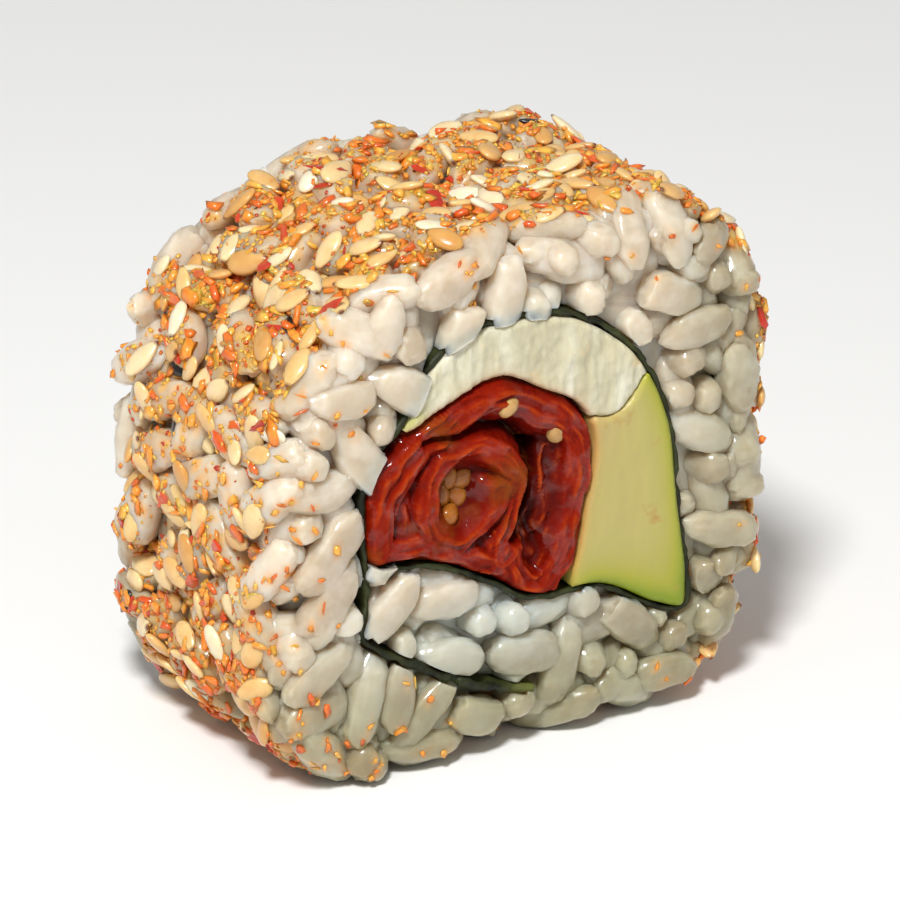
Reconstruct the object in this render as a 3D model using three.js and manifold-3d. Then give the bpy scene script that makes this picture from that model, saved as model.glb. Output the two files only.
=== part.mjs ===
// One uramaki piece: an inside-out sushi roll, cut to a thick slice and resting on its flattened side.
// Millimetres, +Z up. The roll's axis is Y, and the cut face with the fuller filling looks along -Y.
// The origin is the middle of the flat base, straight under the roll's axis.
import * as THREE from "three";
import { mergeVertices } from "three/addons/utils/BufferGeometryUtils.js";
import Module from "manifold-3d";

// Driving sizes
const ROLL_WIDTH = 39.4;
const ROLL_HEIGHT = 37.2;
const ROLL_LENGTH = 23.2;
const CORNER = { bottomLeft: 8.5, bottomRight: 10.5, topRight: 11.2, topLeft: 15.8 };
const RIM = 2.4; // the rounding from the coat to the cut faces
const GRAIN = { length: 5.6, width: 2.7, thickness: 2.4 };
const ROUND_END = 1.5; // what is built of a grain that shows only its end
const COAT_PROUD = 1.1; // how far the grains stand out of the packed rice, on the coat
const FACE_PROUD = 0.8; // the same on the cut faces, where the knife has levelled them
const SEED = { length: 3.2, width: 2.0, thickness: 1.0 };
const FLAKE = { length: 2.6, width: 1.7, thickness: 0.8 };
const TOPPING_SINK = 0.3; // how deep seeds and flakes are pressed into the rice
const NORI_THICKNESS = 0.6;
const GAP = 0.3; // between pieces that touch
const FILLING_PROUD = 0.2; // the filling stands this far out of the packed rice
const TOMATO_PROUD = 0.7;
const FOLD_DEPTH = 5; // the tomato's folds, seen from each cut face
const WRINKLE = 0.16; // height of the wrinkles in the tomato's skin
const WRINKLES_ROUND = [13, 22]; // how many go round it, broad and narrow ones
const FOLD_END = 0.3; // a fold's width at its ends, as a share of its full width

// Shares of a form's own size
const GRAIN_SHOULDER = 0.3; // from a grain's middle to where its barrel ends
const SEED_POINT = 0.5; // how much a seed narrows towards its point
const NORI_CLEARANCE = 0.45; // of a grain's width, kept between its middle line and the nori

// How many of each are tried, how far apart their middles stay, and where their random numbers start
const COAT_GRAINS = { tries: 14000, apart: 2.45, start: 7 };
const BACK_GRAINS = { tries: 12000, apart: 2.5, start: 21 };
const FRONT_GRAINS = { tries: 12000, apart: 2.5, start: 43 };
const SEEDS = { tries: 3000, apart: 5.3, start: 5 };
const FLAKES = { tries: 30, apart: 5, start: 11 };
const LARGEST = 1.08; // the first piece of a kind, against its usual size
const SIZE_RANGE = 0.22; // from the largest to the smallest
const ON_END_SHARE = 0.4; // of the grains on a cut face
const UNEVENNESS = 0.25; // how far grains lie deeper or higher than usual on the coat
const PRESSED_IN = 0.2; // the same on a cut face, inwards
const STANDING_OUT = 0.1; // and outwards
const RAY_START = 6; // how far above the coat the search for its surface begins
// The coat is left bare where it looks down more than this
const BARE_UNDER = { grains: -0.9, toppings: -0.8 };

const CORE_LENGTH = ROLL_LENGTH - 2 * FACE_PROUD;
const FACE_Y = CORE_LENGTH / 2;
const THROUGH = ROLL_LENGTH; // half length of a cutter that runs right through
const NORI_ROOM = NORI_THICKNESS + 2 * GAP;
const BASE_EDGE = 0.9; // no grain of a cut face has its middle line lower than this

const wasm = await Module();
wasm.setup();

// Seeded random numbers, so that the roll is the same each time
function randomFrom(seed) {
  let state = seed;
  return () => {
    state = (state + 0x6d2b79f5) | 0;
    let t = Math.imul(state ^ (state >>> 15), 1 | state);
    t = (t + Math.imul(t ^ (t >>> 7), 61 | t)) ^ t;
    return ((t ^ (t >>> 14)) >>> 0) / 4294967296;
  };
}
const between = (random, low, high) => low + (high - low) * random();

// Solids
function solid(geometry) {
  const bare = geometry.clone();
  bare.deleteAttribute("normal");
  bare.deleteAttribute("uv");
  const merged = mergeVertices(bare, 1e-4);
  return new wasm.Manifold(
    new wasm.Mesh({
      numProp: 3,
      vertProperties: new Float32Array(merged.attributes.position.array),
      triVerts: new Uint32Array(merged.index.array),
    }),
  );
}

function geometryOf(made) {
  const mesh = made.getMesh();
  const geometry = new THREE.BufferGeometry();
  geometry.setAttribute("position", new THREE.BufferAttribute(mesh.vertProperties, 3));
  geometry.setIndex(new THREE.BufferAttribute(mesh.triVerts, 1));
  geometry.computeVertexNormals();
  return geometry;
}

// The largest body of a solid: a loose scrap is dropped and a sealed hollow is filled.
const largest = (made) => made.decompose().reduce((a, b) => (b.volume() > a.volume() ? b : a));

// A section in (x, z), given as points, run along the roll's axis, with its two rims rounded if asked
function prism(points, yFrom, yTo, rim = 0) {
  const options = { depth: yTo - yFrom - 2 * rim, bevelEnabled: rim > 0, bevelSegments: 1 };
  Object.assign(options, { bevelThickness: rim, bevelSize: rim, bevelOffset: -rim });
  const flat = new THREE.ExtrudeGeometry(new THREE.Shape(points), options);
  return solid(flat.rotateX(Math.PI / 2).translate(0, yTo - rim, 0));
}

const vectors = (pairs) => pairs.map(([x, z]) => new THREE.Vector2(x, z));

// Points along a smooth line through a few given ones
const smooth = (pairs, count) => new THREE.SplineCurve(vectors(pairs)).getPoints(count);

// The same for a closed outline, with broad and narrow wrinkles across it
function wrinkledLoop(pairs, count) {
  const [broad, narrow] = WRINKLES_ROUND;
  const knots = pairs.map(([x, z]) => new THREE.Vector3(x, z, 0));
  const curve = new THREE.CatmullRomCurve3(knots, true, "centripetal");
  return Array.from({ length: count }, (_, i) => {
    const turn = (i / count) * Math.PI * 2;
    const out = curve.getTangent(i / count).applyAxisAngle(new THREE.Vector3(0, 0, 1), Math.PI / 2);
    const height = WRINKLE * (Math.sin(broad * turn) + Math.sin(narrow * turn + 1));
    const p = curve.getPoint(i / count).addScaledVector(out, height);
    return new THREE.Vector2(p.x, p.y);
  });
}

// The outline of a ribbon laid along a line
function ribbon(line, widthAt) {
  const left = [];
  const right = [];
  line.forEach((p, i) => {
    const before = line[Math.max(i - 1, 0)];
    const after = line[Math.min(i + 1, line.length - 1)];
    const across = new THREE.Vector2(before.y - after.y, after.x - before.x).normalize();
    const half = widthAt(i / (line.length - 1)) / 2;
    left.push(p.clone().addScaledVector(across, half));
    right.unshift(p.clone().addScaledVector(across, -half));
  });
  return [...left, ...right];
}

// A closed outline moved outwards, for the clearance round a piece
function grown(outline, by) {
  const turn = Math.sign(THREE.ShapeUtils.area(outline));
  return outline.map((p, i) => {
    const before = outline.at(i - 1);
    const after = outline[(i + 1) % outline.length];
    const outwards = new THREE.Vector2(after.y - before.y, before.x - after.x).normalize();
    return p.clone().addScaledVector(outwards, by * turn);
  });
}

// Whether a point of the section lies inside a closed outline
function inside(outline, x, z) {
  let within = false;
  outline.forEach((a, i) => {
    const b = outline[(i + 1) % outline.length];
    if (a.y > z !== b.y > z && x < ((b.x - a.x) * (z - a.y)) / (b.y - a.y) + a.x) within = !within;
  });
  return within;
}

// The roll's section: a square pressed by the rolling mat, each corner rounded by its own radius
function rollSection(inset) {
  const half = ROLL_WIDTH / 2 - inset;
  const top = ROLL_HEIGHT - inset;
  const section = new THREE.Path();
  const corner = (x, z, fullRadius, towardsX, towardsZ, from) => {
    const r = fullRadius - inset;
    section.absarc(x + towardsX * r, z + towardsZ * r, r, from, from + Math.PI / 2, false);
  };
  corner(half, 0, CORNER.bottomRight, -1, 1, -Math.PI / 2);
  corner(half, top, CORNER.topRight, -1, -1, 0);
  corner(-half, top, CORNER.topLeft, 1, -1, Math.PI / 2);
  corner(-half, 0, CORNER.bottomLeft, 1, 1, Math.PI);
  section.closePath();
  return section;
}

// The nori: one sheet that starts under the filling, goes round it anticlockwise and ends as a tail in the rice
const NORI_LINE = smooth(
  [
    [-11.4, 15.4], [-6.4, 14.5], [-2.7, 12.7], [0.9, 10.7], [5.9, 10.4], [10.2, 8.1], [12.8, 7.3],
    [13.1, 9.6], [12.2, 15.2], [11.1, 21.8], [8.2, 27.0], [3.2, 30.4], [-3.0, 31.1], [-7.2, 29.4],
    [-9.5, 25.6], [-12.2, 22.4], [-12.6, 18.4], [-12.0, 14.0], [-12.2, 10.7], [-8.3, 8.0], [-3.9, 5.6],
    [0.8, 4.2],
  ],
  60,
);
const NORI_TURN = 0.79; // the share of the sheet that closes round the filling
const NORI_LOOP = NORI_LINE.slice(0, Math.round(NORI_LINE.length * NORI_TURN));

const sheetAlong = (end, width) => prism(ribbon(NORI_LINE, () => width), -end, end);
const makeNori = () => sheetAlong(FACE_Y + FILLING_PROUD / 2, NORI_THICKNESS);

// The space inside the nori, which the filling shares out
const fillingRoom = (end) => prism(NORI_LOOP, -end, end).subtract(sheetAlong(THROUGH, NORI_ROOM));

// The dried tomato: a rolled, wrinkled piece. Below, it is shaped by the nori it lies on.
const TOMATO_OUTLINE = wrinkledLoop(
  [
    [-13.5, 20.6], [-10.4, 23.7], [-7.8, 25.4], [-2.7, 27.2], [0.8, 25.7], [4.0, 23.8], [5.2, 20.9],
    [4.6, 16.6], [3.7, 12.3], [1.5, 9.5], [-6, 11.5], [-13.5, 15],
  ],
  64,
);
// Its folds: the cleft that ends the curled flap, and the pocket the flap curls round
const TOMATO_FOLDS = [
  { line: [[-5.4, 24.1], [-2.8, 24.1], [-0.4, 23.1], [0.5, 20.7], [0.0, 17.8], [-1.3, 15.2]], width: 1.5 },
  { line: [[-7.8, 22.4], [-8.1, 19.6], [-7.5, 16.9]], width: 0.8 },
  { line: [[-5.3, 21.5], [-4.9, 19.8], [-6.1, 18.2]], width: 2.6 },
];
const foldWidth = (width) => (t) => width * (FOLD_END + (1 - FOLD_END) * Math.sin(Math.PI * t));

function makeTomato() {
  const end = FACE_Y + TOMATO_PROUD;
  let tomato = fillingRoom(end).intersect(prism(TOMATO_OUTLINE, -end, end));
  for (const { line, width } of TOMATO_FOLDS) {
    const outline = ribbon(smooth(line, 4 * (line.length - 1)), foldWidth(width));
    tomato = tomato.subtract(prism(outline, -THROUGH, FOLD_DEPTH - end));
    tomato = tomato.subtract(prism(outline, end - FOLD_DEPTH, THROUGH));
  }
  return largest(tomato);
}

// The cheese lies over the tomato, the avocado beside it. They meet along this line.
const SEAM = [[1, 22.8], [5.2, 22.8], [6.4, 22.6], [7.8, 23.3], [8.9, 24.8], [12, 29]];

function makeSoftFilling(zoneCorners) {
  const end = FACE_Y + FILLING_PROUD;
  const zone = prism(vectors(zoneCorners), -end, end);
  const tomatoRoom = prism(grown(TOMATO_OUTLINE, GAP), -THROUGH, THROUGH);
  return largest(fillingRoom(end).intersect(zone).subtract(tomatoRoom));
}

const aboveSeam = SEAM.map(([x, z]) => [x - GAP / 2, z + GAP / 2]);
const belowSeam = SEAM.map(([x, z]) => [x + GAP / 2, z - GAP / 2]);
const makeCheese = () => makeSoftFilling([...aboveSeam, [12, 36], [-15, 36], [-15, 24.4], [1, 24.4]]);
const makeAvocado = () => makeSoftFilling([[1, 5], [15, 5], ...belowSeam.toReversed()]);

// The packed rice: the pressed roll with room for the nori and the filling
const CORE_SECTION = rollSection(COAT_PROUD);

function makeCore() {
  const packed = prism(CORE_SECTION.getPoints(3), -FACE_Y, FACE_Y, RIM);
  return packed.subtract(prism(NORI_LOOP, -THROUGH, THROUGH)).subtract(sheetAlong(THROUGH, NORI_ROOM));
}

// A grain of five sides, one unit long and wide: a barrel with low caps and a flat side outwards
function grainForm() {
  const form = new THREE.SphereGeometry(0.5, 5, 3).rotateY(-Math.PI / 2);
  const p = form.attributes.position;
  for (let i = 0; i < p.count; i++) {
    const radius = Math.hypot(p.getX(i), p.getZ(i));
    const atTip = radius < 0.1;
    const widen = atTip ? 0 : 0.5 / radius;
    const along = atTip ? 0.5 : GRAIN_SHOULDER;
    p.setXYZ(i, p.getX(i) * widen, Math.sign(p.getY(i)) * along, p.getZ(i) * widen);
  }
  return form;
}

// A seed of five corners, one unit long and wide: a flat drop with its point at the +Y end
function seedForm() {
  const form = new THREE.SphereGeometry(0.5, 5, 2).rotateX(Math.PI / 2).rotateZ(-Math.PI / 2);
  const p = form.attributes.position;
  for (let i = 0; i < p.count; i++) p.setX(i, p.getX(i) * (1 - SEED_POINT * p.getY(i)));
  return form;
}

const GRAIN_FORM = grainForm();
const SEED_FORM = seedForm();
const FLAKE_FORM = new THREE.OctahedronGeometry(0.6);

// A form scaled to size, its length along one direction and its flat side facing another
function placed(form, { size, at, along, facing }) {
  const side = new THREE.Vector3().crossVectors(along, facing).normalize();
  const out = new THREE.Vector3().crossVectors(side, along).normalize();
  const matrix = new THREE.Matrix4().makeBasis(side, along.clone().normalize(), out).setPosition(at);
  return solid(form.clone().scale(size.width, size.length, size.thickness).applyMatrix4(matrix));
}

// Three points along a piece, by which it keeps clear of the others
function spine({ size, at, along }) {
  const reach = Math.max(0, size.length - size.width) / 2;
  return [-reach, 0, reach].map((s) => at.clone().addScaledVector(along, s));
}

const farApart = (points, others, apart) => points.every((p) => others.every((q) => p.distanceTo(q) > apart));

// Pieces proposed one by one, the largest first, and kept if they stay far enough apart
function scatter({ tries, apart }, propose) {
  const kept = [];
  for (let i = 0; i < tries; i++) {
    const piece = propose(LARGEST - (SIZE_RANGE * i) / tries);
    if (!piece) continue;
    const points = spine(piece);
    if (kept.every((other) => farApart(points, other.points, apart))) kept.push({ ...piece, points });
  }
  return kept;
}

const sized = ({ length, width, thickness }, share) => ({
  length: length * share,
  width: width * share,
  thickness: thickness * share,
});

// A place on the coat, round the section by u and along the roll by y. Round the rim the coat turns in.
function onCoat(u, y) {
  const p = CORE_SECTION.getPoint(u);
  const t = CORE_SECTION.getTangent(u);
  const outwards = new THREE.Vector3(t.y, 0, -t.x);
  const turn = Math.asin(Math.max(0, Math.abs(y) - (FACE_Y - RIM)) / RIM);
  return {
    at: new THREE.Vector3(p.x, y, p.y).addScaledVector(outwards, RIM * (Math.cos(turn) - 1)),
    round: new THREE.Vector3(t.x, 0, t.y),
    out: outwards.multiplyScalar(Math.cos(turn)).setY(Math.sign(y) * Math.sin(turn)),
  };
}

// Grains lie flat on the coat, turned any way, but none lies under the flat base.
function coatGrains() {
  const random = randomFrom(COAT_GRAINS.start);
  const end = FACE_Y + FACE_PROUD;
  const pieces = scatter(COAT_GRAINS, (share) => {
    const size = sized(GRAIN, share);
    const { at, round, out } = onCoat(random(), between(random, -1, 1) * (FACE_Y - RIM / 5));
    const along = round.applyAxisAngle(out, between(random, 0, Math.PI));
    at.addScaledVector(out, COAT_PROUD - size.thickness / 2 + between(random, -UNEVENNESS, UNEVENNESS));
    const tip = Math.abs(at.y) + (Math.abs(along.y) * size.length) / 2;
    return out.z < BARE_UNDER.grains || tip > end ? null : { size, at, along, facing: out };
  });
  return pieces.map((piece) => placed(GRAIN_FORM, piece));
}

// On a cut face a grain lies flat, or shows its round end where it runs into the rice.
function faceGrains(side, amount) {
  const random = randomFrom(amount.start);
  const outwards = new THREE.Vector3(0, side, 0);
  const border = rollSection(COAT_PROUD + RIM / 2).getPoints(5);
  const farFromNori = ({ x, z }, least) => NORI_LINE.every((p) => Math.hypot(p.x - x, p.y - z) > least);
  const inRice = ({ x, z }) => !inside(NORI_LOOP, x, z) && z > BASE_EDGE;
  const clear = (p, least) => inRice(p) && farFromNori(p, least + NORI_ROOM / 2);
  const pieces = scatter(amount, (share) => {
    const x = between(random, -0.5, 0.5) * ROLL_WIDTH;
    const at = new THREE.Vector3(x, side * FACE_Y, between(random, 0, ROLL_HEIGHT));
    const lying = new THREE.Vector3(1, 0, 0).applyAxisAngle(outwards, between(random, 0, Math.PI));
    const onEnd = random() < ON_END_SHARE;
    const length = onEnd ? ROUND_END : GRAIN.length;
    const size = sized({ ...GRAIN, length }, share);
    const piece = { size, at, along: onEnd ? outwards : lying, facing: onEnd ? lying : outwards };
    if (!inside(border, at.x, at.z)) return null;
    if (!spine({ ...piece, along: lying }).every((p) => clear(p, size.width * NORI_CLEARANCE))) return null;
    const depth = onEnd ? size.length : size.thickness;
    at.addScaledVector(outwards, FACE_PROUD - depth / 2 + between(random, -PRESSED_IN, STANDING_OUT));
    return piece;
  });
  return pieces.map((piece) => placed(GRAIN_FORM, piece));
}

// Seeds and flakes are pressed onto the coat wherever a ray towards the roll meets the rice.
function toppings(rice, form, fullSize, amount) {
  const random = randomFrom(amount.start);
  const mesh = new THREE.Mesh(geometryOf(rice));
  const ray = new THREE.Raycaster();
  const pieces = scatter(amount, (share) => {
    const { at, round, out } = onCoat(random(), between(random, -1, 1) * (FACE_Y - RIM / 3));
    if (out.z < BARE_UNDER.toppings) return null;
    ray.set(at.addScaledVector(out, RAY_START), out.clone().negate());
    const hit = ray.intersectObject(mesh)[0];
    const facing = hit.face.normal.clone().lerp(out, 0.5).normalize();
    const size = sized(fullSize, share);
    const turned = round.applyAxisAngle(out, between(random, 0, Math.PI * 2));
    const along = turned.projectOnPlane(facing).normalize();
    const centre = hit.point.addScaledVector(facing, size.thickness / 2 - TOPPING_SINK);
    return { size, at: centre, along, facing };
  });
  return pieces.map((piece) => placed(form, piece));
}

function makeRice() {
  const join = (whole, pieces) => pieces.reduce((sum, piece) => sum.add(piece), whole);
  const faces = [...faceGrains(1, BACK_GRAINS), ...faceGrains(-1, FRONT_GRAINS)];
  const grained = join(makeCore(), [...coatGrains(), ...faces]);
  const seeds = toppings(grained, SEED_FORM, SEED, SEEDS);
  const flakes = toppings(grained, FLAKE_FORM, FLAKE, FLAKES);
  const table = new THREE.BoxGeometry(4 * ROLL_WIDTH, 4 * ROLL_LENGTH, ROLL_HEIGHT);
  const coated = join(grained, [...seeds, ...flakes]);
  return largest(coated.subtract(solid(table.translate(0, 0, -ROLL_HEIGHT / 2))));
}

// The finished piece
const finish = (color, roughness) => new THREE.MeshStandardMaterial({ color, roughness, metalness: 0 });
const parts = [
  ["rice", makeRice, finish(0xd9cdb8, 0.45)],
  ["nori", makeNori, finish(0x1c2212, 0.55)],
  ["dried_tomato", makeTomato, finish(0x8c2015, 0.3)],
  ["soft_cheese", makeCheese, finish(0xe2dcc6, 0.5)],
  ["avocado", makeAvocado, finish(0xb9bd5e, 0.4)],
];

const uramaki = new THREE.Group();
for (const [name, make, material] of parts) {
  const mesh = new THREE.Mesh(geometryOf(make()), material);
  mesh.name = name;
  uramaki.add(mesh);
}

export default uramaki;
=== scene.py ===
import math
import random

import bpy
import numpy as np
from mathutils import Matrix, Vector, noise
from mathutils.bvhtree import BVHTree
from mathutils.geometry import delaunay_2d_cdt
from mathutils.kdtree import KDTree


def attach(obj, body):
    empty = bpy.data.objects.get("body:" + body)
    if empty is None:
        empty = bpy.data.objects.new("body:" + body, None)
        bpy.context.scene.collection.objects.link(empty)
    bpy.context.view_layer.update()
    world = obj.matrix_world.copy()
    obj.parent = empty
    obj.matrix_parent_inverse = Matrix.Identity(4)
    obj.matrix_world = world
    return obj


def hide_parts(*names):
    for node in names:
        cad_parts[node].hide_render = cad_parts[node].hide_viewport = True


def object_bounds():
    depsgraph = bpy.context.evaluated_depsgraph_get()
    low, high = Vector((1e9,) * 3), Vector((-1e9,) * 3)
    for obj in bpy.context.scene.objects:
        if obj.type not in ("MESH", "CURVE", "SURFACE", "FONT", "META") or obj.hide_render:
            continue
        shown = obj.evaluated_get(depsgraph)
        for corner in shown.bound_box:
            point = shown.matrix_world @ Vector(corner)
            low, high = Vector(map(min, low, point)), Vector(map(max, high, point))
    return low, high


MM = 0.001

# Sizes of the roll, as in the solids. Places along the roll are measured from its middle.
ROLL_WIDTH = 39.4
ROLL_HEIGHT = 37.2
END = 11.6  # half the length, to the tops of the grains on a cut face
RIM = 3.3  # the rounding from the coat to the cut faces
CORNERS = {"bottom_right": 10.5, "top_right": 11.2, "top_left": 15.8, "bottom_left": 8.5}
CORE_DEPTH = 2.2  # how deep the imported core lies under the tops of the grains
GAP = 0.1  # left between neighbours
KNIFE = 11.1  # grains that stand out further are pressed flatter
PRESSED = 0.6  # the share of what stands out that the knife takes away

NORI_THICKNESS = 0.4
NORI_END = 10.65
ROOM_END = 10.8  # grains reach over the edge of the nori beyond this
TAIL_THICKNESS = 0.6  # the nori's outer end is swollen and torn
TAIL_END = 11.05
TAIL_SWELLS = 4.0  # how long the tail takes to reach that thickness
NORI_STEP = 0.22
NORI_ROWS = 61  # of points along the roll
NORI_TEAR = 0.6  # how deep the sheet's cut edges are torn
FRAYED_POINTS = 14  # at the end of the tail, where the sheet is thin and green
FRAYED_BLEND = 10

SOFT_END = 11.0  # of the cheese and the avocado
SOFT_RIM = 0.25
TOMATO_END = 11.2
TOMATO_RIM = 0.7

# Sizes of single grains, seeds and crumbs: length, width, thickness
GRAIN = (5.9, 2.6, 2.25)
SEED = (2.8, 1.52, 0.72)
FLAKE = (1.7, 1.1, 0.35)
CRUMB = (0.72, 0.5, 0.26)
DUST = (0.34, 0.28, 0.16)
TOMATO_SEED = (1.7, 1.3, 0.8)
STAIN_REACH = 1.8  # how far the orange oil of a crumb spreads over the rice
JUICE_REACH = 0.28  # how far the tomato colours the cheese and the avocado
PALE_EVERY = 6  # every sixth seed is untoasted
BLACK_FIRST = 5
BLACK_EVERY = 30
BLACK_SIZE = 0.85  # black seeds are smaller

# Lines in the section, as (x, z)
NORI_KNOTS = [
    (-11.4, 15.4), (-6.4, 14.5), (-2.7, 12.7), (0.9, 10.7), (5.9, 10.4), (10.2, 8.1),
    (12.8, 7.3), (13.1, 9.6), (12.2, 15.2), (11.1, 21.8), (8.2, 27.0), (3.2, 30.4),
    (-3.0, 31.1), (-7.2, 29.4), (-9.5, 25.6), (-12.2, 22.4), (-12.6, 18.4), (-12.0, 14.0),
    (-12.2, 10.7), (-8.3, 8.0), (-3.9, 5.6), (0.8, 4.2),
]
NORI_TURN = 0.79  # the share of the sheet that closes round the filling
TAIL_START = (-12.2, 10.7)
TOMATO_KNOTS = [
    (5.2, 20.9), (4.0, 23.8), (0.8, 25.7), (-2.7, 27.2), (-7.8, 25.4), (-10.4, 23.7), (-13.5, 20.6),
    (-13.5, 15.0), (-6.0, 11.5), (1.5, 9.5), (3.7, 12.3), (4.6, 16.6),
]
SEAM_KNOTS = [(5.2, 22.8), (6.4, 22.6), (7.8, 23.3), (8.9, 24.8)]  # where cheese and avocado meet

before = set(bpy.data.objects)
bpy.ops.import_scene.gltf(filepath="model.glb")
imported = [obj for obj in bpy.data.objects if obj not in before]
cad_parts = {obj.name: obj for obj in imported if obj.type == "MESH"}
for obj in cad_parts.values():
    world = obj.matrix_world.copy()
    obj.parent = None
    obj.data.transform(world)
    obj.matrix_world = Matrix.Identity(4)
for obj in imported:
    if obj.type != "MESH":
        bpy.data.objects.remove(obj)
cad_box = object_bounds()
BOX_LOW, BOX_HIGH = (np.array(corner) / MM for corner in cad_box)


# Making and measuring lines, which are arrays of points
def smooth(knots, count, closed=False):
    """Points along a smooth line through a few given ones."""
    p = np.array(knots, float)
    spans = len(p) if closed else len(p) - 1
    at = np.linspace(0, spans, count, endpoint=not closed)
    i = np.minimum(at.astype(int), spans - 1)
    t = (at - i)[:, None]

    def knot(k):
        return p[(i + k) % len(p)] if closed else p[np.clip(i + k, 0, len(p) - 1)]

    a, b, c, d = knot(-1), knot(0), knot(1), knot(2)
    return b + t * ((c - a) / 2 + t * (a - 2.5 * b + 2 * c - d / 2 + t * (1.5 * (b - c) + (d - a) / 2)))


def evenly(line, step, closed=False):
    """The same line with its points an even step apart."""
    line = np.vstack([line, line[:1]]) if closed else np.array(line, float)
    run = np.concatenate([[0], np.cumsum(np.linalg.norm(np.diff(line, axis=0), axis=1))])
    at = np.linspace(0, run[-1], max(4, round(run[-1] / step)), endpoint=not closed)
    return np.stack([np.interp(at, run, line[:, k]) for k in (0, 1)], axis=1)


def sideways(line, closed=False):
    """Unit vectors to the right of a line's run, which is outwards where it runs anticlockwise."""
    run = np.roll(line, -1, 0) - np.roll(line, 1, 0)
    if not closed:
        run[0] = line[1] - line[0]
        run[-1] = line[-1] - line[-2]
    run /= np.linalg.norm(run, axis=1)[:, None]
    return np.stack([run[:, 1], -run[:, 0]], axis=1)


def moved(line, by, closed=False):
    return line + by * sideways(line, closed)


def ribbon(line, width):
    return np.vstack([moved(line, width / 2), moved(line, -width / 2)[::-1]])


def point_tree(points):
    tree = KDTree(len(points))
    for number, point in enumerate(points):
        tree.insert(point, number)
    tree.balance()
    return tree


def nearest(line, point):
    return int(np.argmin(np.linalg.norm(line - np.array(point), axis=1)))


def stretch(line, start, stop):
    """The part of a closed line from the point nearest to start, on to the one nearest to stop."""
    i, j = nearest(line, start), nearest(line, stop)
    return line[i : j + 1] if i <= j else np.vstack([line[i:], line[: j + 1]])


def beside(line, points):
    """How far each point is from an evenly spaced line, and how far along the line the nearest place is."""
    tree = point_tree([(x, z, 0) for x, z in line])
    found = [tree.find((x, z, 0)) for x, z in points]
    step = np.linalg.norm(line[1] - line[0])
    return np.array([away for _, _, away in found]), np.array([i * step for _, i, _ in found])


def distance_to(line, points):
    return beside(line, points)[0]


def inside(outline, x, z):
    a, b = outline, np.roll(outline, -1, 0)
    crosses = (a[:, 1] > z) != (b[:, 1] > z)
    a, b = a[crosses], b[crosses]
    return np.sum(x < (b[:, 0] - a[:, 0]) * (z - a[:, 1]) / (b[:, 1] - a[:, 1]) + a[:, 0]) % 2 == 1


# The roll's section: a square pressed by the rolling mat, each corner rounded by its own radius
def roll_section(inset):
    half = ROLL_WIDTH / 2 - inset
    low, high = inset, ROLL_HEIGHT - inset
    places = [
        ("bottom_right", half, low, -1, 1, -0.5),
        ("top_right", half, high, -1, -1, 0.0),
        ("top_left", -half, high, 1, -1, 0.5),
        ("bottom_left", -half, low, 1, 1, 1.0),
    ]
    points = []
    for name, x, z, towards_x, towards_z, start in places:
        r = CORNERS[name] - inset
        for turn in np.linspace(start, start + 0.5, 12) * math.pi:
            points.append((x + towards_x * r + r * math.cos(turn), z + towards_z * r + r * math.sin(turn)))
    return np.array(points)


SECTION = evenly(roll_section(0), 0.2, closed=True)
SECTION_OUT = sideways(SECTION, closed=True)
NORI_LINE = evenly(smooth(NORI_KNOTS, 400), 0.25)
NORI_LOOP = evenly(smooth(NORI_KNOTS, 400)[: round(400 * NORI_TURN)], 0.25, closed=True)
TAIL_LINE = NORI_LINE[nearest(NORI_LINE, TAIL_START) :]
ROOM = moved(NORI_LOOP, -(NORI_THICKNESS / 2 + GAP), closed=True)


# Meshes
def add_mesh(name, points, faces, smooth_shaded=True):
    mesh = bpy.data.meshes.new(name)
    mesh.from_pydata((np.asarray(points, float) * MM).tolist(), [], faces)
    mesh.shade_smooth() if smooth_shaded else mesh.shade_flat()
    piece = bpy.data.objects.new(name, mesh)
    bpy.context.scene.collection.objects.link(piece)
    return piece


def apply_modifiers(piece):
    graph = bpy.context.evaluated_depsgraph_get()
    made = bpy.data.meshes.new_from_object(piece.evaluated_get(graph))
    piece.modifiers.clear()
    piece.data = made


def prism(name, outline, y_from, y_to):
    n = len(outline)
    points = [(x, y, z) for y in (y_from, y_to) for x, z in outline]
    faces = [(i, n + i, n + (i + 1) % n, (i + 1) % n) for i in range(n)]
    faces += [tuple(range(n)), tuple(reversed(range(n, 2 * n)))]
    return add_mesh(name, points, faces)


def cut(piece, cutter):
    modifier = piece.modifiers.new("cut", "BOOLEAN")
    modifier.operation = "DIFFERENCE"
    modifier.solver = "MANIFOLD"
    modifier.object = cutter
    apply_modifiers(piece)
    bpy.data.objects.remove(cutter)


def vertices_of(piece):
    flat = np.empty(len(piece.data.vertices) * 3)
    piece.data.vertices.foreach_get("co", flat)
    return flat.reshape(-1, 3) / MM


def move_vertices(piece, points):
    piece.data.vertices.foreach_set("co", (np.asarray(points) * MM).ravel())
    piece.data.update()


def paint(piece, name, values):
    """A number for each vertex, which the piece's material reads."""
    values = np.clip(np.asarray(values, float), 0, 1)
    piece.data.attributes.new(name, "FLOAT", "POINT").data.foreach_set("value", values)


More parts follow.
